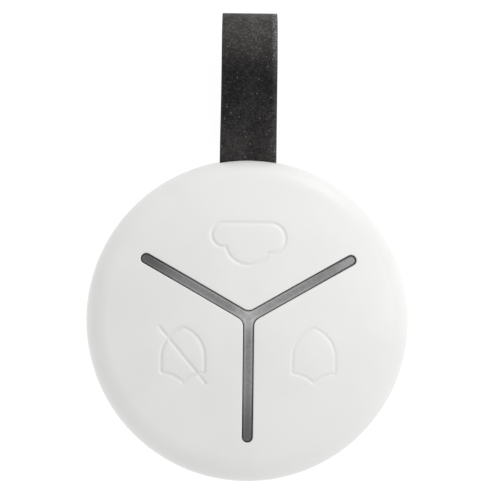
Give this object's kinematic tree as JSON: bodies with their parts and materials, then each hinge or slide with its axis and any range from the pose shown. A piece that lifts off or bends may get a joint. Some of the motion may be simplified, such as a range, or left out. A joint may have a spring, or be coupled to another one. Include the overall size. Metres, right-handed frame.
{
  "type": "key fob",
  "caption": "Round key fob with push buttons split by a smoked light guide, a twist-off cell door and a strap loop for a key ring.",
  "frame": {"origin": "centre of the round case's flat back, where the fob lies on a table", "axes": "+Z out of the front face, +Y towards the strap loop, +X to the right seen from the front"},
  "size_m": [0.042, 0.0613, 0.011],
  "materials": {
    "white_plastic": "satin white moulded plastic",
    "smoked_guide": "glossy smoke-grey, translucent",
    "black_plastic": "matte black moulded plastic",
    "board": "green solder mask over copper",
    "chip_black": "matte moulding compound",
    "ceramic": "fired ceramic with a dull surface",
    "led": "clear resin over a small lamp",
    "cell_steel": "fine brushed nickel-plated steel",
    "spring_metal": "plated spring steel",
    "screw_steel": "zinc-plated steel",
    "seal_rubber": "soft black rubber",
    "strap_fabric": "charcoal microfibre with a fine nap"
  },
  "bodies": {
    "case": {"front_cover": "white_plastic", "rear_cover": "white_plastic", "light_guide": "smoked_guide", "circuit_board": "board", "inner_frame": "black_plastic", "cell_can": "cell_steel", "cell_cap": "cell_steel", "cell_gasket": "black_plastic", "negative_contact": "spring_metal", "positive_contact": "spring_metal", "switch_terminals": "spring_metal", "indicator_leds": "led", "radio_chip": "chip_black", "crystal": "cell_steel", "antenna": "ceramic", "capacitors": "ceramic", "resistors": "chip_black", "case_screws": "screw_steel", "strap_tail": "strap_fabric", "strap_crimp": "spring_metal", "switch_body_upper": "black_plastic", "switch_dome_upper": "spring_metal", "switch_body_lower_left": "black_plastic", "switch_dome_lower_left": "spring_metal", "switch_body_lower_right": "black_plastic", "switch_dome_lower_right": "spring_metal"},
    "button_upper": {"button_upper": "white_plastic"},
    "button_lower_left": {"button_lower_left": "white_plastic"},
    "button_lower_right": {"button_lower_right": "white_plastic"},
    "plunger_upper": {"switch_plunger_upper": "black_plastic"},
    "plunger_lower_left": {"switch_plunger_lower_left": "black_plastic"},
    "plunger_lower_right": {"switch_plunger_lower_right": "black_plastic"},
    "door": {"battery_door": "white_plastic", "door_seal": "seal_rubber"},
    "strap": {"strap_loop": "strap_fabric"}
  },
  "joints": [
    {"name": "press_upper", "type": "hinge", "parent": "case", "child": "button_upper", "pos_m": [0, 0.01465, 0.00884], "axis": [1, 0, 0], "range_deg": [0, 1.5], "stiffness_Nm_per_rad": 0.8},
    {"name": "press_lower_left", "type": "hinge", "parent": "case", "child": "button_lower_left", "pos_m": [-0.01269, -0.00732, 0.00884], "axis": [-0.5, 0.866, 0], "range_deg": [0, 1.5], "stiffness_Nm_per_rad": 0.8},
    {"name": "press_lower_right", "type": "hinge", "parent": "case", "child": "button_lower_right", "pos_m": [0.01269, -0.00732, 0.00884], "axis": [-0.5, -0.866, 0], "range_deg": [0, 1.5], "stiffness_Nm_per_rad": 0.8},
    {"name": "plunger_upper", "type": "slide", "parent": "case", "child": "plunger_upper", "axis": [0, 0, -1], "range_m": [0, 0.00022], "deforming": ["switch_dome_upper"]},
    {"name": "plunger_lower_left", "type": "slide", "parent": "case", "child": "plunger_lower_left", "axis": [0, 0, -1], "range_m": [0, 0.00022], "deforming": ["switch_dome_lower_left"]},
    {"name": "plunger_lower_right", "type": "slide", "parent": "case", "child": "plunger_lower_right", "axis": [0, 0, -1], "range_m": [0, 0.00022], "deforming": ["switch_dome_lower_right"]},
    {"name": "door_twist", "type": "hinge", "parent": "case", "child": "door", "pos_m": [0, 0, 0], "axis": [0, 0, -1], "range_deg": [0, 30]},
    {"name": "strap_bend", "type": "hinge", "parent": "case", "child": "strap", "pos_m": [0, 0.0215, 0.005], "axis": [1, 0, 0], "range_deg": [-60, 60], "stiffness_Nm_per_rad": 0.01}
  ],
  "couplings": [
    {"joint": "plunger_upper", "follows": "press_upper", "m_per_rad": 0.00815},
    {"joint": "plunger_lower_left", "follows": "press_lower_left", "m_per_rad": 0.00815},
    {"joint": "plunger_lower_right", "follows": "press_lower_right", "m_per_rad": 0.00815}
  ]
}
